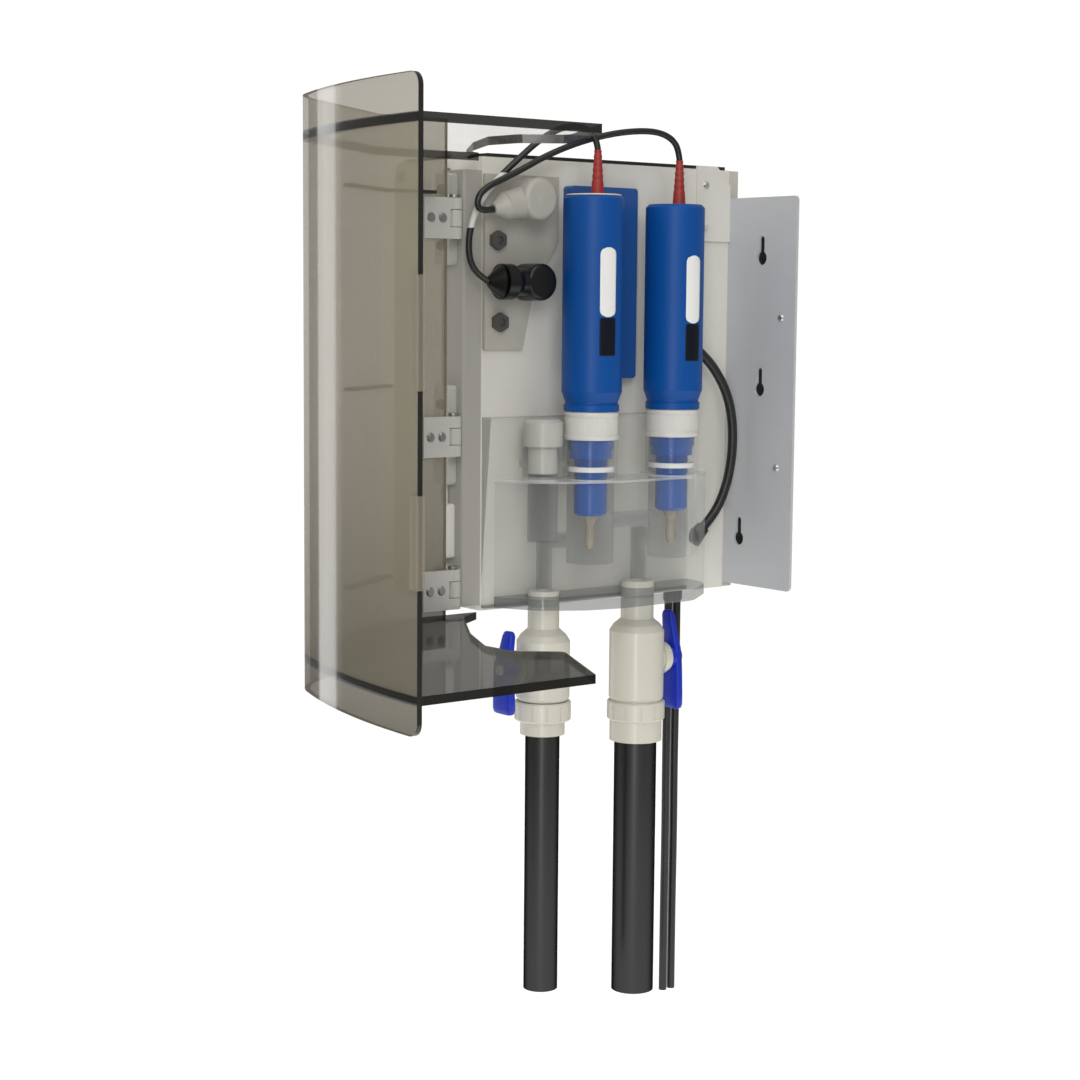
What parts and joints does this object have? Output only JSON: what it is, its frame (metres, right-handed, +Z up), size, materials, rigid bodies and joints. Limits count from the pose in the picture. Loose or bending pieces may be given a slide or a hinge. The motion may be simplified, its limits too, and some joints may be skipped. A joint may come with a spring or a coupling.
{
  "type": "flow cell sensor station",
  "caption": "Wall-hung water sensor station with two probes in a clear flow cell, ball valves, pipes and a hinged smoked cover beside its electronics housing.",
  "frame": {"origin": "on the wall face of the mounting flange, midway between its two upper keyholes", "axes": "+X to the right along the wall as seen from the room, +Y into the wall, +Z up"},
  "size_m": [0.3192, 0.4173, 0.5852],
  "materials": {
    "painted_metal": "fine-texture light grey powder coat",
    "bright_metal": "bright aluminium",
    "steel": "stainless steel",
    "black_foam": "closed-cell foam",
    "housing_plastic": "moulded light grey plastic",
    "white_plastic": "white plastic",
    "grey_plastic": "grey plastic",
    "black_plastic": "black plastic",
    "blue_plastic": "satin blue plastic",
    "circuit_board": "green solder mask",
    "cable_jacket": "black cable jacket",
    "bulb_glass": "thin amber glass",
    "red_rubber": "red rubber",
    "clear_silicone": "translucent silicone",
    "clear_acrylic": "clear machined acrylic",
    "cream_pvc": "cream moulded pipe plastic",
    "handle_blue": "blue moulded handle",
    "black_pipe": "black pressure pipe",
    "smoked_acrylic": "smoked acrylic sheet"
  },
  "bodies": {
    "station": {"black_elbow_plug": "black_plastic", "bracket_doubler": "painted_metal", "bracket_rivets": "bright_metal", "cable_glands": "black_plastic", "carrier_plate": "painted_metal", "case_screws": "steel", "circuit_board": "circuit_board", "connector_panel": "grey_plastic", "cover_switch": "white_plastic", "flow_cell": "clear_acrylic", "flow_cell_backplate": "clear_acrylic", "flow_switch_fittings": "black_plastic", "flow_switch_lead": "cable_jacket", "hinge_blocks": "white_plastic", "hinge_pins": "steel", "hinge_post": "housing_plastic", "housing_front_panel": "housing_plastic", "housing_inner_mounts": "steel", "housing_rear_plate": "housing_plastic", "housing_shell": "housing_plastic", "housing_top_seal": "black_foam", "inlet_pipe": "black_pipe", "outlet_pipe": "black_pipe", "power_cable": "cable_jacket", "power_supply": "bright_metal", "preamplifier_module": "blue_plastic", "probe_body_a": "blue_plastic", "probe_body_b": "blue_plastic", "probe_boots": "red_rubber", "probe_bulbs": "bulb_glass", "probe_lead_a": "cable_jacket", "probe_lead_b": "cable_jacket", "probe_nuts": "white_plastic", "probe_seal_rings": "clear_silicone", "probe_stem_a": "blue_plastic", "probe_stem_b": "blue_plastic", "signal_cable": "cable_jacket", "spare_port_plug": "white_plastic", "terminal_block": "grey_plastic", "valve_body_inlet": "cream_pvc", "valve_body_outlet": "cream_pvc", "valve_seats": "white_plastic", "valve_tails": "cream_pvc", "valve_union_nuts": "cream_pvc", "wall_flange": "painted_metal", "wall_gasket": "black_foam", "white_elbow_plug": "white_plastic"},
    "cover": {"cover_bottom_plate": "smoked_acrylic", "cover_edge_strips": "clear_silicone", "cover_hinge_straps": "white_plastic", "cover_ribs": "smoked_acrylic", "cover_sheet": "smoked_acrylic", "cover_strap_rivets": "steel", "cover_top_plate": "smoked_acrylic"},
    "inlet_handle": {"valve_ball_inlet": "white_plastic", "valve_stem_inlet": "white_plastic", "valve_handle_inlet": "handle_blue"},
    "outlet_handle": {"valve_ball_outlet": "white_plastic", "valve_stem_outlet": "white_plastic", "valve_handle_outlet": "handle_blue"}
  },
  "joints": [
    {"name": "cover_hinge", "type": "hinge", "parent": "station", "child": "cover", "pos_m": [-0.033, -0.237, -0.0395], "axis": [0, 0, 1], "range_deg": [-20, 90]},
    {"name": "inlet_valve", "type": "hinge", "parent": "station", "child": "inlet_handle", "pos_m": [-0.019, -0.176, -0.2165], "axis": [0, -1, 0], "range_deg": [0, 90]},
    {"name": "outlet_valve", "type": "hinge", "parent": "station", "child": "outlet_handle", "pos_m": [-0.019, -0.098, -0.2205], "axis": [0, 1, 0], "range_deg": [0, 90]}
  ]
}
